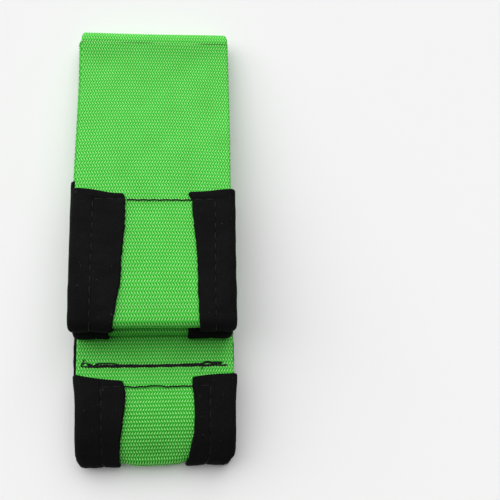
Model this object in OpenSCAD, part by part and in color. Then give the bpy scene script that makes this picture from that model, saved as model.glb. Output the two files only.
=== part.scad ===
// Leg band: one closed loop of heavy webbing, folded flat into three lobes
// that lie on top of each other. Each lobe's bend is covered by a soft pad that
// wraps the webbing's inner face and both of its edges.
// Millimetres, +Z up. The origin is the bottom centre of the folded band.
// X runs across the webbing, +Y points to the plain bends, -Y to the padded ones.

/* [Webbing] */
// Width of the webbing
web_w = 50; // [38:1:60]
// Thickness of the webbing
web_t = 1.3; // [1.0:0.1:2.2]
// Space left between plies that lie on each other
ply_gap = 0.3; // [0.2:0.05:0.6]
// Length of the stretch where the two webbing ends lie on each other
lap_len = 17; // [10:1:30]

/* [Fold] */
// Y of the outermost point of the plain bends
plain_end = 73.52; // [60:0.01:90]
// Distance of the lower lobe's bend from the origin
lower_end = 68.97; // [55:0.01:80]
// Distance of the middle lobe's bend from the origin
middle_end = 30.2; // [20:0.1:40]
// Distance of the upper lobe's bend from the origin
upper_end = 28.9; // [20:0.1:40]
// Radius of the lower lobe's open bend, at mid thickness
open_r = 2.8; // [2.4:0.1:9]

/* [Pads] */
// Thickness of the pad material
pad_t = 1.1; // [0.8:0.1:2]
// Width of the upper and lower pads' flap on the -X side, folded onto the outer face
wide_flap = 16.5; // [10:0.5:20]
// Width of the flap on the +X side, and of the middle pad's flaps
narrow_flap = 13; // [10:0.5:20]
// Y where the upper pad starts on the lobe's top ply
upper_pad_top = 13.5; // [5:0.1:17]
// Y where the upper pad ends on the lobe's under ply
upper_pad_under = 11.2; // [5:0.1:17]
// Y where the middle pad starts on the lobe's top ply
middle_pad_top = 16.8; // [5:0.1:17]
// Y where the middle pad ends on the lobe's under ply
middle_pad_under = 12; // [5:0.1:17]
// Y where the lower pad starts on the lobe's top ply
lower_pad_top = -45.1; // [-50:0.1:-40]
// Y where the lower pad ends on the lobe's under ply
lower_pad_under = -29.7; // [-40:0.1:-20]

/* [Stitching] */
// Thickness of the sewing thread
thread_t = 0.4; // [0.3:0.05:0.8]
// Distance of the stitch line from the pad's end
stitch_in = 3.5; // [2:0.1:6]
// Distance of the stitch line from the middle of the band
stitch_x = 18.9; // [14:0.1:22]
// Y of the closure seam
seam_y = -42.2; // [-43:0.1:-38]
// Height of the closure seam's thick thread above the webbing
seam_t = 0.7; // [0.4:0.05:1.2]

/* [Hidden] */
$fn = 64;
t = web_t;
half = web_w / 2;
pitch = t + ply_gap;
skin = t / 2 + pad_t;
// plies at the plain end, counted from the bottom
zn = [for (i = [0:5]) t / 2 + i * pitch];
bend_z = 3 * pitch - ply_gap / 2;
out_r = 2.5 * pitch;
in_r = pitch / 2;
plain_y = plain_end - out_r - t / 2;
// heights where the pads lie on each other
tuck = 0.4;
lobe_t = t + 2 * pad_t + tuck;
lobe_r = lobe_t / 2;
low_z = pad_t + t / 2;
top_z = low_z + 2 * open_r;
first = t + ply_gap + pad_t;
between = t + 2 * pad_t + ply_gap;
off4 = first;
off3 = off4 + lobe_t;
off2 = off3 + between;
off1 = off2 + lobe_t;
flat_y = 60;
rise_y = 17;
level_y = -21;
rise_z = 3.7;
level_z = 8.2;
dip_y = -34.5;
lap_y = lower_pad_top + 0.4;
mid_y = lower_pad_top;
mid_z = 10.2;

function up(y, off) = off + lookup(y, [[level_y, level_z], [rise_y, rise_z]]);

function lobe_line(z_plain, off, stop) = [
    [plain_y - ply_gap, z_plain],
    [flat_y, z_plain],
    [rise_y, rise_z + off],
    [level_y, level_z + off],
    [stop, level_z + off]
];

function pad_line(start, off, stop) = [
    [start, up(start, off)],
    [level_y, level_z + off],
    [stop, level_z + off]
];

upper_top = lobe_line(zn[5], off1, -upper_end);
upper_under = lobe_line(zn[4], off2, -upper_end);
middle_top = lobe_line(zn[3], off3, -middle_end);
middle_under = lobe_line(zn[2], off4, -middle_end);

lower_under = [
    [plain_y, zn[0]],
    [lower_pad_under + 16, zn[0]],
    [lower_pad_under, low_z],
    [-lower_end, low_z]
];

// the lower lobe's top ply under its pad, sinking towards the bend
slope = [
    [mid_y, mid_z],
    [mid_y - 12, mid_z - 0.3],
    [mid_y - 18, mid_z - 1.3],
    [mid_y - 22, mid_z - 2.6],
    [-lower_end, top_z]
];

lower_top = concat([[lap_y + lap_len, level_z], [dip_y, level_z]], slope);

lower_inner = [
    [plain_y, zn[1]],
    [flat_y, zn[1]],
    [rise_y, rise_z - t],
    [level_y, level_z - t],
    [dip_y, level_z - t],
    [lap_y, mid_z - t - 0.05]
];

function moved(line, n) = [for (p = line) [p[0], p[1] + n]];

function turned(line) = [for (i = [len(line) - 1:-1:0]) line[i]];

// a side profile drawn in Y and Z, given its width along X
module across(x0, x1) {
    translate([x0, 0, 0])
        rotate([90, 0, 90])
            linear_extrude(height = x1 - x0)
                children();
}

// the layer between two distances above a line
module layer(line, n0, n1, x0, x1) {
    across(x0, x1)
        polygon(concat(moved(line, n0), turned(moved(line, n1))));
}

// half of a tube that closes a lobe at its padded end
module bend(y, z, r0, r1, x0, x1) {
    translate([x0, y, z])
        intersection() {
            difference() {
                rotate([0, 90, 0])
                    cylinder(r = r1, h = x1 - x0);
                translate([-1, 0, 0])
                    rotate([0, 90, 0])
                        cylinder(r = r0, h = x1 - x0 + 2);
            }
            translate([-1, -r1 - 1, -r1 - 1])
                cube([x1 - x0 + 2, r1 + 1, 2 * r1 + 2]);
        }
}

// a quarter tube at the plain end, below its own middle or above it
module quarter(z, r, above) {
    translate([-half, plain_y, z])
        intersection() {
            difference() {
                rotate([0, 90, 0])
                    cylinder(r = r + t / 2, h = web_w);
                translate([-1, 0, 0])
                    rotate([0, 90, 0])
                        cylinder(r = r - t / 2, h = web_w + 2);
            }
            translate([-1, above ? -ply_gap : 0, above ? ply_gap / 2 : -r - t])
                cube([web_w + 2, r + t + ply_gap, r + t - ply_gap / 2]);
        }
}

// the short flat pieces between a quarter tube and its ply
module lead(z) {
    translate([-half, plain_y - ply_gap, z - t / 2])
        cube([web_w, ply_gap, t]);
}

// a layer that runs along a lobe's top ply, round its bend and back along its under ply
module wrapped(top, under, r, n0, n1, x0, x1) {
    last = top[len(top) - 1];
    layer(top, n0, n1, x0, x1);
    layer(under, -n0, -n1, x0, x1);
    bend(last[0], last[1] - r, r + n0, r + n1, x0, x1);
}

module webbing(top, under, r) {
    wrapped(top, under, r, -t / 2, t / 2, -half, half);
}

// the pad: inner sheet, both wrapped edges and both flaps
module pad(top, under, r, left, right) {
    edge = half + pad_t;
    wrapped(top, under, r, -skin, -t / 2, -edge, edge);
    for (s = [-1, 1]) {
        a = s > 0 ? half : -edge;
        wrapped(top, under, r, -t / 2, skin, a, a + pad_t);
    }
    wrapped(top, under, r, t / 2, skin, -half, left - edge);
    wrapped(top, under, r, t / 2, skin, edge - right, half);
}

// the part of a line that lies between two values of Y
function piece(line, ya, yb) = [
    [yb, lookup(yb, turned(line))],
    [ya, lookup(ya, turned(line))]
];

// one row of thread across the band near a pad's end: sunk in the flaps, on the webbing between
module row(line, y, s, left, right) {
    a = left - half - pad_t;
    b = half + pad_t - right;
    seg = piece(line, y, y + thread_t);
    lift = skin - thread_t;
    layer(seg, s * lift, s * skin, -stitch_x, a);
    layer(seg, s * lift, s * skin, b, stitch_x);
    layer(seg, s * t / 2, s * (t / 2 + thread_t), a + thread_t, b - thread_t);
    layer(seg, s * t / 2, s * skin, a, a + thread_t);
    layer(seg, s * t / 2, s * skin, b - thread_t, b);
}

// the closed stitch line of one pad
module stitching(top, under, r, left, right) {
    top_y = top[0][0] - stitch_in - thread_t;
    under_y = under[0][0] - stitch_in - thread_t;
    last = len(top) - 1;
    top_line = concat([[top_y, lookup(top_y, turned(top))]], [for (i = [1:last]) top[i]]);
    under_line = concat([[under_y, lookup(under_y, turned(under))]],
        [for (i = [1:len(under) - 1]) under[i]]);
    for (x = [-stitch_x, stitch_x - thread_t])
        wrapped(top_line, under_line, r, skin - thread_t, skin, x, x + thread_t);
    row(top, top_y, 1, left, right);
    row(under, under_y, -1, left, right);
}

upper_pad_a = pad_line(upper_pad_top, off1, -upper_end);
upper_pad_b = pad_line(upper_pad_under, off2, -upper_end);
middle_pad_a = pad_line(middle_pad_top, off3, -middle_end);
middle_pad_b = pad_line(middle_pad_under, off4, -middle_end);
lower_pad_a = slope;
lower_pad_b = [[lower_pad_under, low_z], [-lower_end, low_z]];

// lower loop's webbing: under ply, open bend, top ply, and the end that lies under the lap
module web_lower() {
    color([0.1, 0.6, 0.1]) {
        layer(lower_under, -t / 2, t / 2, -half, half);
        layer(lower_top, -t / 2, t / 2, -half, half);
        layer(lower_inner, -t / 2, t / 2, -half, half);
        bend(-lower_end, low_z + open_r, open_r - t / 2, open_r + t / 2, -half, half);
        quarter(bend_z, out_r, false);
        quarter(zn[1] + in_r, in_r, false);
    }
}

// middle loop's webbing
module web_middle() {
    color([0.1, 0.6, 0.1]) {
        webbing(middle_top, middle_under, lobe_r);
        lead(zn[2]);
        lead(zn[3]);
        quarter(zn[1] + in_r, in_r, true);
        quarter(zn[3] + in_r, in_r, false);
    }
}

// upper loop's webbing
module web_upper() {
    color([0.1, 0.6, 0.1]) {
        webbing(upper_top, upper_under, lobe_r);
        lead(zn[4]);
        lead(zn[5]);
        quarter(zn[3] + in_r, in_r, true);
        quarter(bend_z, out_r, true);
    }
}

module stitch_lower() {
    color([0.05, 0.05, 0.05])
        stitching(lower_pad_a, lower_pad_b, open_r, wide_flap, narrow_flap);
}

module stitch_middle() {
    color([0.05, 0.05, 0.05])
        stitching(middle_pad_a, middle_pad_b, lobe_r, narrow_flap, narrow_flap);
}

module stitch_upper() {
    color([0.05, 0.05, 0.05])
        stitching(upper_pad_a, upper_pad_b, lobe_r, wide_flap, narrow_flap);
}

module pad_lower() {
    color([0.05, 0.05, 0.05])
        difference() {
            pad(lower_pad_a, lower_pad_b, open_r, wide_flap, narrow_flap);
            stitching(lower_pad_a, lower_pad_b, open_r, wide_flap, narrow_flap);
        }
}

module pad_middle() {
    color([0.05, 0.05, 0.05])
        difference() {
            pad(middle_pad_a, middle_pad_b, lobe_r, narrow_flap, narrow_flap);
            stitching(middle_pad_a, middle_pad_b, lobe_r, narrow_flap, narrow_flap);
        }
}

module pad_upper() {
    color([0.05, 0.05, 0.05])
        difference() {
            pad(upper_pad_a, upper_pad_b, lobe_r, wide_flap, narrow_flap);
            stitching(upper_pad_a, upper_pad_b, lobe_r, wide_flap, narrow_flap);
        }
}

// the thick double row that closes the loop, on top of the lap
module seam() {
    color([0.05, 0.05, 0.05]) {
        layer(piece(lower_top, seam_y - 0.5, seam_y + 0.5), t / 2, t / 2 + seam_t, -21.5, 23.5);
        layer(piece(lower_top, seam_y + 0.5, seam_y + 1.2), t / 2, t / 2 + 0.5, -18.5, -12);
        layer(piece(lower_top, seam_y + 0.5, seam_y + 1.4), t / 2, t / 2 + 0.5, 12, 22);
    }
}

// the seam's two loose thread ends, lying on the webbing
module seam_tails() {
    color([0.05, 0.05, 0.05]) {
        layer(piece(lower_top, seam_y + 0.5, seam_y + 2.6), t / 2, t / 2 + thread_t, -22, -21.5);
        layer(piece(lower_top, seam_y - 1.8, seam_y - 0.5), t / 2, t / 2 + thread_t, 15, 15.5);
    }
}

web_lower();
web_middle();
web_upper();
pad_lower();
pad_middle();
pad_upper();
stitch_lower();
stitch_middle();
stitch_upper();
seam();
seam_tails();
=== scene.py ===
import math
import bpy
import numpy as np
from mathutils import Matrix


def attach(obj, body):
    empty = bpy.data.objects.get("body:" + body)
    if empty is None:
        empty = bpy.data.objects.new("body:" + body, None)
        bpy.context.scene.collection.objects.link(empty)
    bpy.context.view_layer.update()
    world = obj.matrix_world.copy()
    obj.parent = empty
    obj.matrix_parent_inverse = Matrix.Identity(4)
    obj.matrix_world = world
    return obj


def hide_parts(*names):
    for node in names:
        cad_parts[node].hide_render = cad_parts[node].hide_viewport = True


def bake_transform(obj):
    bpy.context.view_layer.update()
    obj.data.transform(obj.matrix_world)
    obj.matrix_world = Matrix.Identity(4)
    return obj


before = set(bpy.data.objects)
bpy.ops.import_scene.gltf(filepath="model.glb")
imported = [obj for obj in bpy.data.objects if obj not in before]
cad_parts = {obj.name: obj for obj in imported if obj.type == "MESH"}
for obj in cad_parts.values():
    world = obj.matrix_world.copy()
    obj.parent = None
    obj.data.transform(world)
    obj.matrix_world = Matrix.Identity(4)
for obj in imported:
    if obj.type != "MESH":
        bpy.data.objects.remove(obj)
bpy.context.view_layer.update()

MM = 0.001

# ---------------------------------------------------------------- sizes, in mm
WEB_W = 50.0         # width of the webbing
WEB_T = 1.3          # thickness of the webbing
PAD_T = 1.1          # thickness of the pad material
GAP = 0.3            # space between plies that lie on each other
PITCH = WEB_T + GAP
ROW = 1.2            # length of one woven rib row
CELL = 0.9           # width of one rib
LEAN = 0.7           # how far a float leans along its row
BIND = 1.3           # width of the bound edge
STITCH = 3.6         # length of one stitch
THREAD_R = 0.21      # radius of the pads' sewing thread
EDGE_X = 24.35       # X of the middle of a pad's folded edge
EDGE_R = 1.2         # distance of a pad's middle from the middle of the webbing
UV_SIZE = 50         # length that the texture's unit stands for
HW = WEB_W / 2
ZN = [WEB_T / 2 + i * PITCH for i in range(6)]      # heights of the six plies at the plain end
PLAIN_Y = 68.87      # where the plain bends start
BEND_Z = 3 * PITCH - GAP / 2
PLAIN_R = 4.0        # radius of the two outer plain bends
FOLD_R = PITCH / 2   # radius of the two folds between neighbouring plies
LOW_Z = 1.75         # height of the lower lobe's under ply on its pad
OPEN_R = 2.2         # radius of the lower lobe's bend
LOBE_R = 1.95        # radius of the other two lobes' bends
FLAT_Y, RISE_Y, LEVEL_Y, DIP_Y = 60, 17, -21, -34.5     # where the plies change slope
RISE_Z, LEVEL_Z = 3.7, 8.2      # heights of the lower lobe's top ply at RISE_Y and from LEVEL_Y on
OFF4, OFF3, OFF2, OFF1 = 2.7, 6.6, 10.4, 14.3           # heights of the four plies above it
UPPER_END, MIDDLE_END, LOWER_END = -28.9, -30.2, -69.57
PAD_TOP, PAD_UNDER = -45.1, -29.7                       # where the lower pad starts and ends
SEAM_Y = -42.3


# ---------------------------------------------------------------- paths in Y and Z
def rounded(points, reach):
    """A fine polyline through the stations, with every corner eased over the given reach."""
    points = [np.array(p, float) for p in points]
    out = [points[0]]
    for a, b, c in zip(points, points[1:], points[2:]):
        ra = min(reach, 0.48 * np.linalg.norm(b - a))
        rc = min(reach, 0.48 * np.linalg.norm(c - b))
        p = b + (a - b) / np.linalg.norm(a - b) * ra
        q = b + (c - b) / np.linalg.norm(c - b) * rc
        for u in np.linspace(0, 1, 13):
            out.append((1 - u) ** 2 * p + 2 * u * (1 - u) * b + u * u * q)
    out.append(points[-1])
    return out


def arc(cy, cz, r, a0, a1, n=48):
    """Points on a part of a circle, from one angle in degrees to another."""
    return [np.array([cy + r * math.cos(a), cz + r * math.sin(a)])
            for a in np.radians(np.linspace(a0, a1, n))]


def run_of(points):
    """The length along a line at each of its points."""
    return np.concatenate([[0], np.cumsum(np.linalg.norm(np.diff(points, axis=0), axis=1))])


class Path:
    """A line in Y and Z that the webbing follows, read by its length.

    shift moves the band's middle along X and squeeze narrows the band, both by place.
    """

    STEP = 0.1
    SMOOTH = 4      # neighbours on each side over which the direction is averaged

    def __init__(self, points, shift=None, squeeze=None):
        p = [points[0]]
        for q in points[1:]:
            if np.linalg.norm(np.array(q) - p[-1]) > 1e-4:
                p.append(np.array(q))
        p = np.array(p, float)
        s = run_of(p)
        self.length = float(s[-1])
        self.s = np.arange(0, self.length + self.STEP / 2, self.STEP)
        self.y, self.z = np.interp(self.s, s, p[:, 0]), np.interp(self.s, s, p[:, 1])
        d = np.stack([np.gradient(self.y, self.s), np.gradient(self.z, self.s)], 1)
        padded = np.pad(d, ((self.SMOOTH, self.SMOOTH), (0, 0)), mode="edge")
        window = 2 * self.SMOOTH + 1
        d = sum(padded[i:i + len(d)] for i in range(window)) / window
        self.d = d / np.linalg.norm(d, axis=1)[:, None]
        self.shift = shift or (lambda y, z: 0 * y)
        self.squeeze = squeeze or (lambda y, z: 1 + 0 * y)

    def at(self, s, x, n):
        """World points, in mm, for lengths s, widths x and heights n above the line on its outer side."""
        y, z = np.interp(s, self.s, self.y), np.interp(s, self.s, self.z)
        dy, dz = np.interp(s, self.s, self.d[:, 0]), np.interp(s, self.s, self.d[:, 1])
        long = np.hypot(dy, dz)
        dy, dz = dy / long, dz / long
        return np.stack([x * self.squeeze(y, z) + self.shift(y, z), y + dz * n, z - dy * n], -1)

    def where(self, y, first=True):
        """The length at which the line passes that Y, on its way out or on its way back."""
        turn = int(np.argmin(self.y))
        if first:
            return float(np.interp(-y, -self.y[:turn + 1], self.s[:turn + 1]))
        return float(np.interp(y, self.y[turn:], self.s[turn:]))


def lobe(z_top, z_under, off_top, off_under, end):
    """A lobe's line: out along its top ply, round its bend and back along its under ply."""
    corner = 13
    top = rounded([(PLAIN_Y, z_top), (FLAT_Y, z_top), (RISE_Y, RISE_Z + off_top),
                   (LEVEL_Y, LEVEL_Z + off_top), (end, LEVEL_Z + off_top)], corner)
    under = rounded([(end, LEVEL_Z + off_under), (LEVEL_Y, LEVEL_Z + off_under),
                     (RISE_Y, RISE_Z + off_under), (FLAT_Y, z_under), (PLAIN_Y, z_under)], corner)
    return top + arc(end, LEVEL_Z + off_top - LOBE_R, LOBE_R, 90, 270) + under


def ease(y, a, b):
    """0 at a, 1 at b, and smooth between them."""
    u = np.clip((y - a) / (b - a), 0, 1)
    return u * u * (3 - 2 * u)


upper = Path(lobe(ZN[5], ZN[4], OFF1, OFF2, UPPER_END),
             lambda y, z: 0.25 - 1.05 * ease(y, 60, -28))
middle = Path(lobe(ZN[3], ZN[2], OFF3, OFF4, MIDDLE_END),
              lambda y, z: -0.85 - 0.75 * ease(y, 56, 10) + 0.9 * ease(y, -24, -33),
              lambda y, z: 1 - 0.035 * ease(y, -26, -33))
inner_line = rounded([(PLAIN_Y, ZN[1]), (FLAT_Y, ZN[1]), (RISE_Y, RISE_Z - WEB_T), (LEVEL_Y, LEVEL_Z - WEB_T),
                      (DIP_Y, LEVEL_Z - WEB_T), (-44.6, 8.25)], 10)
inner = Path(inner_line, lambda y, z: 0.25 - 0.1 * ease(y, 60, 0))
# the lower lobe's top ply from the lap over its crest, its bend, and its under ply
outer_line = (rounded([(-27.7, LEVEL_Z), (DIP_Y, LEVEL_Z), (PAD_TOP, 10.1), (-50, 11.3), (-55, 11.6),
                       (-60, 11.05), (-64, 9.95), (-67.3, 8.4), (-69.5, 6.95), (-71.07, 5.56)], 4)
              + arc(LOWER_END, LOW_Z + OPEN_R, OPEN_R, 133, 270)
              + rounded([(LOWER_END, LOW_Z), (PAD_UNDER, LOW_Z), (PAD_UNDER + 16, ZN[0]),
                         (PLAIN_Y, ZN[0])], 7))
outer = Path(outer_line, lambda y, z: 0.25 - 0.30 * ease(y, 10, -30) * (z < 6) + 0.22 * ease(y, -40, -50),
             lambda y, z: 1 - 0.034 * ease(y, -44, -54) - 0.055 * np.clip((-69 - y) / 2.8, 0, 1) ** 2)


def plain_bend(z, r, a0, a1, shift, squeeze=None):
    """A bend at the plain end, let a little way into the plies that it joins."""
    lead = np.array([-0.45, 0])
    points = arc(PLAIN_Y, z, r, a0, a1, 24)
    first = [points[0] + lead] if a0 != 0 else []
    last = [points[-1] + lead] if a1 != 360 else []
    return Path(first + points + last, shift, squeeze)


def round_in(y, z):
    """The band is a little narrower at the tip of the outer bends."""
    return 1 - 0.035 * (np.clip(y - PLAIN_Y, 0, 4.1) / 4) ** 3


def aside(y, z):
    """The outer plain bends lie a little towards +X."""
    return 0.25 + 0 * y


round_low = plain_bend(BEND_Z, PLAIN_R, 270, 360, aside, round_in)
round_high = plain_bend(BEND_Z, PLAIN_R, 0, 90, aside, round_in)
tight_high = plain_bend((ZN[3] + ZN[4]) / 2, FOLD_R, 90, -90, lambda y, z: 0.25 - 1.1 * (ZN[4] - z) / PITCH)
tight_low = plain_bend((ZN[1] + ZN[2]) / 2, FOLD_R, 90, -90, lambda y, z: 0.25 - 1.1 * (z - ZN[1]) / PITCH)


# ---------------------------------------------------------------- meshes
def wave(x, y, seed, scale):
    """A smooth, repeatable unevenness between about -1 and 1."""
    r = np.random.default_rng(seed)
    out = 0 * (x + y)
    for k in range(5):
        f = 2 * math.pi / (scale * r.uniform(0.6, 1.8))
        a = r.uniform(0, 2 * math.pi)
        out = out + np.sin(f * (x * math.cos(a) + y * math.sin(a)) + r.uniform(0, 6.28))
    return out / 3.2


def mesh_object(name, points, faces, material, uv=None, caps=0):
    """A mesh from points in mm and quads. The last faces, as many as caps says, are flat shaded."""
    points = np.asarray(points, np.float32).reshape(-1, 3) * MM
    faces = np.asarray(faces, np.int32)
    mesh = bpy.data.meshes.new(name)
    mesh.vertices.add(len(points))
    mesh.vertices.foreach_set("co", points.ravel())
    mesh.loops.add(faces.size)
    mesh.loops.foreach_set("vertex_index", faces.ravel())
    mesh.polygons.add(len(faces))
    mesh.polygons.foreach_set("loop_start", np.arange(len(faces), dtype=np.int32) * faces.shape[1])
    mesh.polygons.foreach_set("use_smooth", np.arange(len(faces)) < len(faces) - caps)
    if uv is not None:
        layer = mesh.uv_layers.new(name="strip")
        layer.data.foreach_set("uv", np.asarray(uv, np.float32)[faces.ravel()].ravel())
    mesh.update(calc_edges=True)
    mesh.validate()
    mesh.materials.append(material)
    obj = bpy.data.objects.new(name, mesh)
    bpy.context.scene.collection.objects.link(obj)
    return obj


def tube_faces(rows, cols):
    """Quads of a grid whose columns close round. Both ends are closed by quads across the opening."""
    i, j = np.meshgrid(np.arange(rows - 1), np.arange(cols), indexing="ij")
    k = (j + 1) % cols
    quads = np.stack([i * cols + j, i * cols + k, (i + 1) * cols + k, (i + 1) * cols + j], -1).reshape(-1, 4)
    half = cols // 2
    j = np.arange(half - 1)
    a = np.stack([j, cols - 1 - j, cols - 2 - j, j + 1], -1)
    end = (rows - 1) * cols
    b = np.stack([end + j, end + j + 1, end + cols - 2 - j, end + cols - 1 - j], -1)
    return np.concatenate([quads, a, b])


def woven(x, s):
    """Height of the weave, 0 to 1: rows of slanted floats, each slanting the other way from the last."""
    row = np.floor(s / ROW)
    v = s / ROW - row - 0.5
    odd = np.mod(row, 2)
    u = x / CELL + 0.5 * odd + (2 * odd - 1) * v * LEAN
    c = np.abs(u - np.round(u)) * 2
    top = np.exp(-((v - 0.08) / 0.40) ** 2 - (c / 0.60) ** 2)
    low = np.exp(-((v + 0.04) / 0.36) ** 2 - ((1 - c) / 0.50) ** 2)
    return np.clip(0.50 + 0.50 * top - 0.50 * low, 0, 1)


def webbing(name, path, s0, s1, sag=0.0, seed=1, groove=None, nose=None):
    """A run of webbing with woven relief on both faces and rounded, bound edges.

    sag curves its rows, groove opens them on the outside of a bend, and nose, a length and a height, bulges
    it out between a pad's flaps.
    """
    long = s1 - s0
    count = max(2, round(long / ROW))
    count += count % 2
    per = 3                                     # points to a row, and to a rib
    sv = np.linspace(0, count, count * per + 1)
    s = s0 + sv * long / count
    cells = int((WEB_W - BIND) / CELL)
    r = 0.62                                    # radius of the bound edge
    mid = np.linspace(-(HW - r), HW - r, cells * per + 1)
    turn = np.radians([18, 36, 54, 72])
    top_x = np.concatenate([-(HW - r) - r * np.sin(turn[::-1]), mid, (HW - r) + r * np.sin(turn)])
    top_e = np.concatenate([np.cos(turn[::-1]), np.ones_like(mid), np.cos(turn)])
    x = np.concatenate([[-HW], top_x, [HW], top_x[::-1]])
    e = np.concatenate([[0], top_e, [0], -top_e[::-1]])
    S, X = np.meshgrid(s, x, indexing="ij")
    V = np.meshgrid(sv, x, indexing="ij")[0] * ROW
    E = np.broadcast_to(e, S.shape)
    near = np.clip(np.minimum(S - s0, s1 - S) / 14, 0, 1)
    W = V + sag * (1 - (X / HW) ** 2) * near * near * (3 - 2 * near)
    h = woven(X, W) * (E > 0) + woven(X + 0.3, W) * (E < 0)
    edge = np.clip((np.abs(X) - (HW - BIND)) / BIND, 0, 1)
    bind = 0.5 + 0.5 * np.cos(2 * math.pi * V / ROW)
    h = h * (1 - edge) + bind * edge
    n = E * (WEB_T / 2 - 0.20 + 0.26 * h)
    if groove:
        n = n - groove(S) * np.cos(math.pi * (W / ROW - 0.30)) ** 4 * (E > 0)
    n = n + 0.10 * wave(X, S, seed, 26)
    if nose:
        n = n + nose[1] * np.exp(-((S - nose[0]) / 2.6) ** 2) * np.clip(1 - (X / 10.5) ** 4, 0, 1)
    xx = X + np.sign(X) * edge * (0.10 * bind - 0.05) + 0.12 * wave(X * 0, S, seed + 3, 30)
    p = path.at(S, xx, n)
    uv = np.stack([(X + (E < 0) * 0.3) / UV_SIZE + (E < 0) * 1.8, W / UV_SIZE], -1)
    return mesh_object(name, p, tube_faces(*S.shape), WEB, uv.reshape(-1, 2), 2 * (len(x) // 2 - 1))


def bar(points, radius, twist=0.0, turn=0):
    """One strand along points: a closed tube with a two-ply twist and soft ends."""
    sides = 8
    points = np.asarray(points, float)
    d = np.gradient(points, axis=0)
    d /= np.linalg.norm(d, axis=1)[:, None] + 1e-12
    up = np.array([0.0, 0.0, 1.0]) + 0 * d
    side = np.cross(d, up)
    bad = np.linalg.norm(side, axis=1) < 0.2
    side[bad] = np.cross(d[bad], [1.0, 0, 0])
    side /= np.linalg.norm(side, axis=1)[:, None]
    up = np.cross(side, d)
    run = run_of(points)
    ends = np.clip(np.minimum(run, run[-1] - run) / (radius * 0.9), 0, 1)
    grow = np.sqrt(np.clip(1 - (1 - ends) ** 2, 0.03, 1))
    a = np.linspace(0, 2 * math.pi, sides, endpoint=False)
    A, R = np.meshgrid(a, run, indexing="xy")
    rad = radius * grow[:, None] * (1 + twist * np.cos(2 * A - R / radius * 1.3 + turn))
    ring = np.cos(A)[..., None] * side[:, None] + np.sin(A)[..., None] * up[:, None]
    p = points[:, None] + rad[..., None] * ring
    return p.reshape(-1, 3), tube_faces(len(points), sides)


def sewing(name, parts, body, node):
    """One piece of thread made of many strands."""
    starts = np.cumsum([0] + [len(p) for p, f in parts])
    points = np.concatenate([p for p, f in parts])
    faces = np.concatenate([f + n for (p, f), n in zip(parts, starts)])
    obj = mesh_object(name, points, faces, THREAD)
    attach(obj, body)
    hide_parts(node)


# ---------------------------------------------------------------- materials
def nodes_of(name):
    """A new material, its node tree and its shader."""
    m = bpy.data.materials.new(name)
    m.use_nodes = True
    t = m.node_tree
    t.nodes.clear()
    out = t.nodes.new("ShaderNodeOutputMaterial")
    b = t.nodes.new("ShaderNodeBsdfPrincipled")
    t.links.new(b.outputs[0], out.inputs[0])
    return m, t, b


def add(t, kind, **values):
    """A node with the given input values and settings."""
    n = t.nodes.new(kind)
    for k, v in values.items():
        if k in n.inputs:
            n.inputs[k].default_value = v
        else:
            setattr(n, k, v)
    return n


def textured(t, kind, vector, **values):
    """The output of a texture node read at a vector."""
    n = add(t, kind, **values)
    t.links.new(vector, n.inputs["Vector"])
    return n.outputs[0]


def toned(t, value, stops):
    """A value turned into a colour by a ramp of (position, colour)."""
    n = t.nodes.new("ShaderNodeValToRGB")
    e = n.color_ramp.elements
    while len(e) < len(stops):
        e.new(0.5)
    for k, (pos, col) in enumerate(stops):
        e[k].position = pos
        e[k].color = (*col, 1)
    t.links.new(value, n.inputs[0])
    return n.outputs[0]


def mixed(t, kind, a, b):
    """Two colours put together in full."""
    n = add(t, "ShaderNodeMix", data_type="RGBA", blend_type=kind)
    n.inputs[0].default_value = 1.0
    t.links.new(a, n.inputs[6])
    t.links.new(b, n.inputs[7])
    return n.outputs[2]


def bumped(t, b, height, strength, distance):
    """Fine relief on a shader's surface."""
    n = add(t, "ShaderNodeBump", Strength=strength, Distance=distance)
    t.links.new(height, n.inputs["Height"])
    t.links.new(n.outputs[0], b.inputs["Normal"])


def math_of(t):
    """Short forms for arithmetic between sockets or numbers in a node tree."""
    def op(kind, *args):
        n = t.nodes.new("ShaderNodeMath")
        n.operation = kind
        for k, a in enumerate(args):
            if isinstance(a, (int, float)):
                n.inputs[k].default_value = a
            else:
                t.links.new(a, n.inputs[k])
        return n.outputs[0]
    return op


def weave_highlight_and_shade(t, uv):
    """Painted highlights and painted shade of the weave, 0 to 1, in step with the floats that woven() raises:
    bright on the floats, dark between them.
    """
    op = math_of(t)
    split = add(t, "ShaderNodeSeparateXYZ")
    t.links.new(uv, split.inputs[0])
    ribs = op("MULTIPLY", split.outputs[0], UV_SIZE / CELL)
    rows = op("MULTIPLY", split.outputs[1], UV_SIZE / ROW)
    row = op("FLOOR", rows)
    v = op("SUBTRACT", op("SUBTRACT", rows, row), 0.5)
    odd = op("FLOORED_MODULO", row, 2.0)
    slant = op("SUBTRACT", op("MULTIPLY", odd, 2.0), 1.0)
    u = op("ADD", op("ADD", ribs, op("MULTIPLY", odd, 0.5)), op("MULTIPLY", op("MULTIPLY", slant, v), LEAN))
    c = op("MULTIPLY", op("ABSOLUTE", op("SUBTRACT", op("FRACT", op("ADD", u, 0.5)), 0.5)), 2.0)

    def spot_of(dv, wide_v, at, wide_c):
        a = op("POWER", op("ABSOLUTE", op("DIVIDE", op("SUBTRACT", v, dv), wide_v)), 2.0)
        d = op("POWER", op("ABSOLUTE", op("DIVIDE", op("SUBTRACT", c, at), wide_c)), 2.0)
        return op("EXPONENT", op("MULTIPLY", op("ADD", a, d), -1.0))
    # top is a painted highlight on each float, low is painted shade between the floats
    top = spot_of(0.10, 0.34, 0.0, 0.50)
    low = spot_of(-0.06, 0.34, 1.0, 0.52)
    return op("ADD", 0.47, op("SUBTRACT", op("MULTIPLY", top, 0.53), op("MULTIPLY", low, 0.47)))


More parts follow.
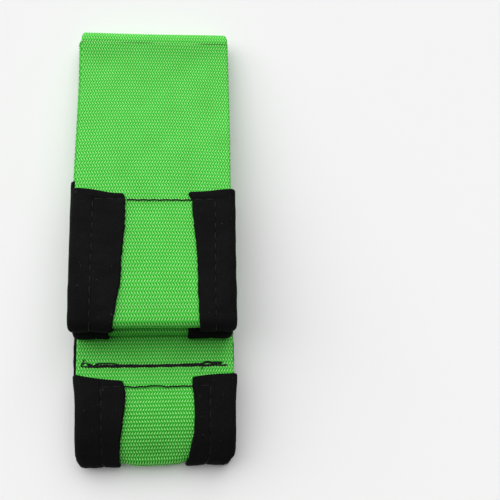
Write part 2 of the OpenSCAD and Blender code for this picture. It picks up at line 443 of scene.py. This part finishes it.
def web_material():
    """Green webbing: painted highlights on the floats and painted shade between them, fine yarns and broad
    uneven dye.
    """
    m, t, b = nodes_of("webbing_green")
    op = math_of(t)
    uv = add(t, "ShaderNodeUVMap", uv_map="strip").outputs[0]
    float_highlight_and_shade = weave_highlight_and_shade(t, uv)
    stretch = add(t, "ShaderNodeMapping", Scale=(260, 60, 1))
    t.links.new(uv, stretch.inputs["Vector"])
    yarn = textured(t, "ShaderNodeTexNoise", stretch.outputs[0], Scale=2.2, Detail=3.0, Roughness=0.6)
    blotch = textured(t, "ShaderNodeTexNoise", uv, Scale=7.0, Detail=4.0)
    # the ramp's dark stops are painted shade between the floats, its bright stops painted highlights on them
    green = toned(t, float_highlight_and_shade, [(0.0, (0.000, 0.20, 0.000)), (0.22, (0.002, 0.37, 0.003)),
                            (0.47, (0.052, 0.57, 0.045)), (0.72, (0.18, 0.68, 0.125)),
                            (1.0, (0.48, 0.84, 0.33))])
    fine = toned(t, yarn, [(0.3, (0.84, 0.84, 0.84)), (0.7, (1.10, 1.10, 1.10))])
    broad = toned(t, blotch, [(0.3, (0.93, 0.95, 0.90)), (0.7, (1.06, 1.04, 1.08))])
    t.links.new(mixed(t, "MULTIPLY", mixed(t, "MULTIPLY", green, fine), broad), b.inputs["Base Color"])
    rough = toned(t, yarn, [(0.3, (0.62, 0.62, 0.62)), (0.7, (0.48, 0.48, 0.48))])
    t.links.new(rough, b.inputs["Roughness"])
    b.inputs["Specular IOR Level"].default_value = 0.16
    bumped(t, b, op("ADD", op("MULTIPLY", float_highlight_and_shade, 0.5), op("MULTIPLY", yarn, 0.30)), 0.6, 0.00010)
    return m


def pad_material():
    """Matt black knit with a fine grain, a few pale fibres and broad worn areas."""
    m, t, b = nodes_of("pad_black_knit")
    place = add(t, "ShaderNodeTexCoord").outputs["Object"]
    grain = textured(t, "ShaderNodeTexNoise", place, Scale=2600.0, Detail=3.0, Roughness=0.65)
    cell = textured(t, "ShaderNodeTexVoronoi", place, Scale=2100.0)
    broad = textured(t, "ShaderNodeTexNoise", place, Scale=90.0, Detail=4.0)
    lint = textured(t, "ShaderNodeTexNoise", place, Scale=1100.0, Detail=1.0)
    black = toned(t, grain, [(0.32, (0.0022, 0.0022, 0.0024)), (0.68, (0.0062, 0.0062, 0.0066))])
    fibres = toned(t, lint, [(0.0, (0, 0, 0)), (0.75, (0, 0, 0)), (0.80, (0.03, 0.03, 0.033))])
    wear = toned(t, broad, [(0.35, (0.82, 0.82, 0.82)), (0.65, (1.2, 1.2, 1.25))])
    t.links.new(mixed(t, "MULTIPLY", mixed(t, "ADD", black, fibres), wear), b.inputs["Base Color"])
    b.inputs["Roughness"].default_value = 0.85
    b.inputs["Specular IOR Level"].default_value = 0.08
    bumped(t, b, cell, 0.5, 0.00008)
    return m


def thread_material():
    """Black sewing thread with a little shine."""
    m, t, b = nodes_of("thread_black")
    place = add(t, "ShaderNodeTexCoord").outputs["Object"]
    fibre = textured(t, "ShaderNodeTexNoise", place, Scale=3500.0, Detail=3.0)
    black = toned(t, fibre, [(0.3, (0.002, 0.002, 0.0022)), (0.75, (0.010, 0.010, 0.011))])
    t.links.new(black, b.inputs["Base Color"])
    b.inputs["Roughness"].default_value = 0.6
    b.inputs["Specular IOR Level"].default_value = 0.2
    bumped(t, b, fibre, 0.4, 0.00005)
    return m


def floor_material():
    m, _, b = nodes_of("floor_white")
    b.inputs["Base Color"].default_value = (0.90, 0.90, 0.90, 1)
    b.inputs["Roughness"].default_value = 0.9
    b.inputs["Specular IOR Level"].default_value = 0.1
    return m


WEB, PAD, THREAD = web_material(), pad_material(), thread_material()


# ---------------------------------------------------------------- webbing runs
def web_piece(name, path, s0, s1, node, body=None, pair=None, going=(), **look):
    """A run of webbing, on one body, or with its transform baked into its mesh when a pair is given. going is
    not used.
    """
    obj = webbing(name, path, s0, s1, **look)
    if pair:
        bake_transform(obj)
    else:
        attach(obj, body)
    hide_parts(node)
    return obj


def bend_piece(name, path, node, bodies, z0, z1):
    """A plain bend from one ply's height to another's, its transform baked into its mesh."""
    pair = (*bodies, (0.0, PLAIN_Y * MM, z0 * MM), (0.0, PLAIN_Y * MM, z1 * MM))
    return web_piece(name, path, 0, path.length, node, pair=pair, seed=0)


LOW_PAIR, HIGH_PAIR = ("lower_loop", "middle_loop"), ("middle_loop", "upper_loop")
round_a = bend_piece("web_round_low", round_low, "web_lower", LOW_PAIR, ZN[0], BEND_Z)
round_b = bend_piece("web_round_high", round_high, "web_upper", HIGH_PAIR, BEND_Z, ZN[5])
tight_a = bend_piece("web_tight_low", tight_low, "web_middle", LOW_PAIR, ZN[1], ZN[2])
tight_b = bend_piece("web_tight_high", tight_high, "web_upper", HIGH_PAIR, ZN[3], ZN[4])

BEFORE = 4           # how far before a padded bend its piece starts, and how far after it ends
OVERLAP = 0.4        # how far a bend's piece reaches into the runs


def lobe_pieces(key, path, end, seed, top, under):
    """A lobe's top run, its bend and its under run."""
    node, body = "web_" + key, key + "_loop"
    cut, back = path.where(end + BEFORE), path.where(end + BEFORE, False)
    web_piece(node + "_top", path, 0, cut, node, body, seed=seed, **top)
    web_piece(node + "_bend", path, cut - OVERLAP, back + OVERLAP, node, body, seed=seed)
    web_piece(node + "_under", path, back, path.length, node, body, seed=seed, **under)


def stretched(s):
    """How deep the grooves between the rows are over the lower lobe's crest."""
    return 0.36 * ease(s, outer.where(-41), outer.where(-52)) * (1 - ease(s, turn_o - 14, turn_o))


lobe_pieces("upper", upper, UPPER_END, 11, {"sag": 0.7, "going": [round_b]}, {"going": [tight_b]})
lobe_pieces("middle", middle, MIDDLE_END, 17, {}, {"going": [tight_a]})
web_piece("web_lower_inner", inner, 0, inner.length, "web_lower", "lower_loop", seed=19)
turn_o = outer.where(-45, False)
web_piece("web_lower_outer", outer, 0, turn_o, "web_lower", "lower_loop", seed=23,
          groove=stretched, nose=(outer.where(-71.7), 1.0))
web_piece("web_lower_under", outer, turn_o - OVERLAP, outer.length, "web_lower", "lower_loop", seed=23,
          going=[round_a])


# ---------------------------------------------------------------- pads
def pad_rows(long):
    """Lengths at which a pad has a row of points, closer together near its rounded ends."""
    near = [0.0, 0.05, 0.15, 0.3, 0.5]
    n = int(round((long - 1.0) / 0.4))
    mid = np.linspace(0.5, long - 0.5, n)
    return np.array(near + list(mid[1:-1]) + [long - v for v in near[::-1]])


def pad_section():
    """Stations across a pad, from the left flap's free edge round the webbing to the right flap's free edge.

    Each is its kind (flap L, flap R or core C), its X or its share of the flap, its height above the
    webbing's middle, and its outward direction in X and in height.
    """
    turn = np.radians(np.linspace(90, 270, 13))
    edge = [(EDGE_R * math.cos(a), EDGE_R * math.sin(a), math.cos(a), math.sin(a)) for a in turn]
    share = np.linspace(0, 1, 42)
    out = [("L", f, EDGE_R, 0.0, 1.0) for f in share[:-1]]
    out += [("C", -EDGE_X + dx, dz, nx, nz) for dx, dz, nx, nz in edge]
    out += [("C", -EDGE_X + f * 2 * EDGE_X, -EDGE_R, 0.0, -1.0) for f in np.linspace(0, 1, 60)[1:-1]]
    out += [("C", EDGE_X - dx, -dz, -nx, -nz) for dx, dz, nx, nz in edge]
    out += [("R", f, EDGE_R, 0.0, 1.0) for f in share[::-1][1:]]
    return out


def soft(distance, reach):
    """A rounded edge: from nearly 0 at the edge to 1 at the reach."""
    return np.sqrt(np.clip(1 - (1 - np.clip(distance / reach, 0, 1)) ** 2, 0.02, 1))


def pad_widths(stations, left, right):
    """X of every point of a pad, and its distance from its flap's free edge."""
    X = np.zeros((len(left), len(stations)))
    free = np.full(X.shape, 99.0)       # far from it, away from the flaps
    for j, (kind, place, *_) in enumerate(stations):
        if kind == "L":
            X[:, j] = left + (-EDGE_X - left) * place
            free[:, j] = left - X[:, j]
        elif kind == "R":
            X[:, j] = right + (EDGE_X - right) * place
            free[:, j] = X[:, j] - right
        else:
            X[:, j] = place
    return X, free


def pad_ends(X, free, spec, seed):
    """How far a flap's start and stop are set in across its width: rounded corners and a slope."""
    r = 0.9
    corner = r - np.sqrt(np.clip(r * r - (r - np.clip(free, 0, r)) ** 2, 0, None))
    corner = np.where(free < r, corner, 0)
    slope_l = spec["drop_l"] * np.clip((X + 25) / 15, 0, 1) * (X < 0)
    slope_r = spec["drop_r"] * np.clip((25 - X) / 12, 0, 1) * (X > 0)
    start = corner + slope_l + slope_r + 0.22 * wave(X, 0 * X, seed + 5, 11)
    stop = corner + 0.6 * slope_l + 0.22 * wave(X, 0 * X, seed + 6, 11)
    return start, stop


def stitch_groove(X, SS, s0, s1, spec):
    """How deep the stitch line, down both flaps and across near both ends, pulls the pad in."""
    away = 9        # out of the groove's reach
    d_side = np.minimum(np.abs(X - spec["stitch_l"]), np.abs(X - spec["stitch_r"]))
    d_side = np.where((SS > s0 + 3.0) & (SS < s1 - 3.0), d_side, away)
    d_row = np.minimum(np.abs(SS - (s0 + spec["in"])), np.abs(SS - (s1 - spec["in"])))
    d_row = np.where((X > spec["stitch_l"] - 0.3) & (X < spec["stitch_r"] + 0.3), d_row, away)
    near = np.minimum(d_side, d_row)
    beat = 0.5 + 0.5 * np.cos(2 * math.pi * np.where(d_side < d_row, SS, X) / STITCH)
    narrow = np.exp(-(near / 0.45) ** 2) * (0.20 + 0.10 * beat)
    wide = np.exp(-(near / 2.6) ** 2) * (0.14 + 0.05 * beat)
    return narrow + wide


def pad_shape(name, path, s0, s1, spec, seed, body, node):
    """A soft sheet that lines the inner face, folds round both edges and ends in two outer flaps."""
    stations = pad_section()
    kind, _, height, out_x, out_n = zip(*stations)
    long = s1 - s0
    rows = pad_rows(long)
    S = s0 + rows
    rag = [0.35 * wave(S, 0 * S, seed + k, 14) + 0.12 * wave(S, 0 * S, seed + k + 1, 4.5) for k in (0, 2)]
    X, free = pad_widths(stations, spec["left_in"](S) + rag[0], spec["right_in"](S) + rag[1])
    N0, TX, TN = (np.broadcast_to(np.array(v, float), X.shape) for v in (height, out_x, out_n))
    flap = np.array([k in "LR" for k in kind])[None, :]

    start, stop = pad_ends(X, free, spec, seed)
    u = (rows / long)[:, None]
    SS = s0 + rows[:, None] + flap * start * (1 - u) ** 6 - flap * stop * u ** 6
    from_end = np.minimum(rows, long - rows)[:, None] + 0 * X
    thick = soft(from_end, 0.5) * soft(free, 0.5)

    puff = 0.12 + 0.10 * wave(X, SS, seed + 9, 9) + 0.05 * wave(X, SS, seed + 10, 3.2)
    puff = puff * soft(from_end, 2.5) * soft(free, 2.0)
    rise = flap * (TN > 0.3) * (puff - stitch_groove(X, SS, s0, s1, spec))
    swell = 0.05 + 0.08 * wave(SS, 0 * SS, seed + 12, 7)
    swell = ~flap * (np.abs(TX) > 0.3) * swell * soft(from_end, 2)
    over = np.maximum(PAD_T / 2 * thick + rise + swell, 0.02)
    under = -PAD_T / 2 * thick + 0.02
    skins = [path.at(SS, X + TX * n + spec.get("dx", 0), N0 + TN * n) for n in (over, under)]
    grid = np.concatenate([skins[0], skins[1][:, ::-1]], axis=1)
    obj = mesh_object(name, grid, tube_faces(grid.shape[0], grid.shape[1]), PAD)
    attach(obj, body)
    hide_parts(node)


def edge_of(path, knots):
    """A flap's free edge by length, from its (Y, X) on the way out. The way back repeats it."""
    ys = np.array([k[0] for k in knots], float)
    xs = np.array([k[1] for k in knots], float)

    def f(s):
        y = np.interp(s, path.s, path.y)
        return np.interp(-y, -ys, xs)
    return f


def stitches(name, path, s0, s1, spec, body, node, seed):
    """The sewn line: separate stitches that dip into the pad at both ends, and cross the bare webbing."""
    parts = []
    r = np.random.default_rng(seed)

    def one(a, b):
        u = np.linspace(0, 1, 11)
        s = a[0] + (b[0] - a[0]) * u
        x = a[1] + (b[1] - a[1]) * u
        n = 1.40 - 0.46 + 0.56 * np.sin(math.pi * u) ** 0.55
        parts.append(bar(path.at(s, x, n), THREAD_R, 0.16, r.uniform(0, 6)))

    first, last = s0 + spec["in"], s1 - spec["in"]
    left, right = spec["stitch_l"], spec["stitch_r"]
    for x in (left, right):
        cut = np.linspace(first, last, int(round((last - first) / STITCH)) + 1)
        for p, q in zip(cut, cut[1:]):
            j = r.normal(0, 0.05, 2)
            one((p + 0.16, x + j[0]), (q - 0.16, x + j[1]))
    for s in (first, last):
        bare_l, bare_r = spec["left_in"](s), spec["right_in"](s)
        cut = np.linspace(left, right, int(round((right - left) / STITCH)) + 1)
        for p, q in zip(cut, cut[1:]):
            if bare_l - 0.6 < (p + q) / 2 < bare_r + 0.6:
                continue
            j = r.normal(0, 0.06, 2)
            one((s + j[0], p + 0.14), (s + j[1], q - 0.14))
        inside = [c for c in cut if bare_l - 2.4 < c < bare_r + 2.4]
        x = np.linspace(inside[0], inside[-1], 26 * (len(inside) - 1) + 1)
        beat = np.abs(np.sin(math.pi * (x - inside[0]) / (inside[1] - inside[0])))
        knots = np.interp(x, inside, r.normal(0, 0.09, len(inside)))
        n = 0.74 + 0.20 * beat ** 0.5
        parts.append(bar(path.at(s + knots - 0.10 * beat, x, n), THREAD_R, 0.14))
    sewing(name, parts, body, node)


# left_in and right_in are the flaps' free edges as (Y, X), and drop is how far a flap's start slopes in;
# stitch_l and stitch_r are the stitch line's X, and in is its distance from the pad's ends
spec_u = {"left_in": edge_of(upper, [(15, -10.2), (13, -9.6), (11, -9.3), (0, -9.5), (-16, -10.0),
                                     (-25, -11.3), (-31, -12.3)]),
          "right_in": edge_of(upper, [(15, 10.2), (13.3, 10.9), (11, 12.2), (0, 13.2), (-16, 13.8),
                                      (-31, 14.3)]),
          "drop_l": 1.7, "drop_r": 1.2, "stitch_l": -19.1, "stitch_r": 19.8, "in": 3.9, "dx": 0.30}
spec_m = {"left_in": edge_of(middle, [(18, -13.4), (-20, -13.9), (-34, -14.5)]),
          "right_in": edge_of(middle, [(18, 12.2), (-20, 11.8), (-34, 11.5)]),
          "drop_l": 0.6, "drop_r": 1.4, "stitch_l": -18.9, "stitch_r": 18.9, "in": 3.9, "dx": 0.35}
spec_l = {"left_in": edge_of(outer, [(-43, -10.8), (-47, -10.0), (-50, -9.9), (-60, -10.8), (-68, -11.6),
                                     (-74, -12.0)]),
          "right_in": edge_of(outer, [(-43, 11.0), (-47, 11.9), (-50, 12.6), (-53, 12.5), (-62, 12.0),
                                      (-68, 11.3), (-74, 10.2)]),
          "drop_l": 2.3, "drop_r": 1.0, "stitch_l": -17.6, "stitch_r": 17.6, "in": 4.0}

# each pad's line, Y of its start and end, shape and seed
pads = {
    "upper": (upper, 13.6, 11.2, spec_u, 51),
    "middle": (middle, 18.2, 12, spec_m, 62),
    "lower": (outer, PAD_TOP, PAD_UNDER, spec_l, 73),
}
for key, (path, start_y, end_y, spec, seed) in pads.items():
    s0, s1 = path.where(start_y), path.where(end_y, False)
    pad_shape("padding_" + key, path, s0, s1, spec, seed, key + "_loop", "pad_" + key)
    stitches("threads_" + key, path, s0, s1, spec, key + "_loop", "stitch_" + key, seed)


# ---------------------------------------------------------------- closure seam
def eased(knots, step=0.12):
    """A smooth line through knots in any number of dimensions."""
    k = np.array(knots, float)
    u = run_of(k)
    fine = np.linspace(0, u[-1], max(12, int(u[-1] / step)))
    out = np.stack([np.interp(fine, u, k[:, i]) for i in range(k.shape[1])], 1)
    for _ in range(10):
        out[1:-1] = 0.25 * out[:-2] + 0.5 * out[1:-1] + 0.25 * out[2:]
    return out


s_seam = outer.where(SEAM_Y)


def strand(knots, radius, weave=0.0, phase=0.0, lift=0.0):
    """A thread on the webbing, through (X, distance towards +Y from the seam), that sways and dips."""
    line = eased(knots)
    run = run_of(line)
    sway = weave * np.sin(run * 1.1 + phase) + 0.4 * weave * np.sin(run * 2.7 + 2 * phase)
    dip = 0.10 * np.abs(np.sin(math.pi * run / 3.4 + phase)) ** 0.5
    n = 0.58 + radius + lift + dip - 0.10
    return bar(outer.at(s_seam - line[:, 1] - sway, line[:, 0] + 0.5, n), radius, 0.16, phase)


seam_parts = [
    strand([(-22.7, -0.20), (-10, -0.22), (5, -0.20), (22.5, -0.05)], 0.27, 0.07, 0.3),
    strand([(-21.6, 0.02), (-8, -0.02), (6, -0.06), (18.5, 0.0)], 0.25, 0.07, 2.2, 0.14),
    strand([(-19.6, 0.30), (-18.6, 0.90), (-16.4, 0.98), (-14.2, 0.86), (-12.0, 0.42), (-4, 0.24), (5, 0.28),
            (11.4, 0.42)], 0.21, 0.04, 1.1),
    strand([(-20.4, 0.26), (-18.2, 0.52), (-15.4, 0.48), (-12.4, 0.22)], 0.12, 0.03, 0.7, 0.05),
    strand([(10.4, 0.34), (12.4, 0.55), (14.6, 0.50)], 0.15, 0.03, 0.2, 0.05),
    strand([(11.0, 0.20), (13.2, 0.24), (15.4, 0.12)], 0.15, 0.03, 1.9, 0.10),
    strand([(14.2, 0.28), (14.9, 0.95), (16.4, 1.20), (17.6, 0.95), (18.4, 0.45)], 0.21, 0.02, 0.5, 0.10),
    strand([(14.8, 0.62), (16.4, 0.78), (17.8, 0.55)], 0.14, 0.02, 2.5, 0.05),
    strand([(17.4, 0.56), (19.2, 0.60), (20.7, 0.52)], 0.25, 0.04, 0.9, 0.04),
    strand([(17.9, 0.90), (19.4, 0.98), (20.9, 0.84)], 0.24, 0.04, 2.9, 0.08),
]
tail_parts = [
    strand([(-23.9, 0.0), (-23.5, 0.9), (-23.2, 1.6), (-22.8, 2.3)], 0.19, 0.02, 0.4, 0.20),
    strand([(-23.9, 0.1), (-23.0, 1.0), (-22.2, 1.2), (-21.4, 0.95), (-20.9, 0.5), (-20.5, 0.25)],
           0.14, 0.02, 1.4, 0.12),
    strand([(-24.0, -0.05), (-23.2, 0.0), (-22.2, -0.1)], 0.18, 0.02, 2.4, 0.05),
    strand([(-22.0, 0.40), (-21.2, 0.66), (-20.4, 0.40)], 0.24, 0.02, 0.9, 0.08),
    strand([(15.0, 0.75), (14.7, 0.1), (14.4, -0.6), (14.1, -1.4)], 0.16, 0.02, 0.6, 0.30),
]
sewing("closure_seam", seam_parts, "lower_loop", "seam")
sewing("seam_loose_ends", tail_parts, "lower_loop", "seam_tails")

# ---------------------------------------------------------------- floor, light, camera
scene = bpy.context.scene
scene.view_settings.view_transform = "Standard"
FLOOR_REACH, FLOOR_Z = 3000.0, -0.3
corners = [(-1, -1), (1, -1), (1, 1), (-1, 1)]
floor = mesh_object("floor", [(x * FLOOR_REACH, y * FLOOR_REACH, FLOOR_Z) for x, y in corners],
                    [[0, 1, 2, 3]], floor_material())

world = bpy.data.worlds.new("studio")
scene.world = world
world.use_nodes = True
background = world.node_tree.nodes["Background"]
background.inputs[0].default_value = (1, 1, 1, 1)
background.inputs[1].default_value = 0.12


def sun(name, toward, strength, angle):
    """A sun that shines from a direction, as wide as an angle in degrees."""
    light = bpy.data.lights.new(name, "SUN")
    light.energy = strength
    light.angle = math.radians(angle)
    obj = bpy.data.objects.new(name, light)
    v = -np.array(toward, float)
    v /= np.linalg.norm(v)
    obj.rotation_euler = (math.acos(-v[2]), 0, math.atan2(v[1], v[0]) - math.pi / 2)
    scene.collection.objects.link(obj)


sun("key", (-0.34, 0.78, 0.80), 4.05, 108)

IMAGE, FOCAL = 500, 920          # the image's width and the focal length, in pixels
SENSOR = 36
ELEV, DIST = math.radians(78), 0.3046
TURN = math.atan(0.191 * IMAGE / FOCAL)      # the band stands left of the image's middle
aim = np.array([0.0, -0.00403, 0.008])
cam = bpy.data.cameras.new("camera")
cam.sensor_width = SENSOR
cam.lens = FOCAL / IMAGE * SENSOR
cam.clip_start = 0.01
cam_obj = bpy.data.objects.new("camera", cam)
cam_obj.location = aim + DIST * np.array([0, -math.cos(ELEV), math.sin(ELEV)])
cam_obj.rotation_mode = "ZYX"
cam_obj.rotation_euler = (math.pi / 2 - ELEV, -TURN, 0)
scene.collection.objects.link(cam_obj)
scene.camera = cam_obj
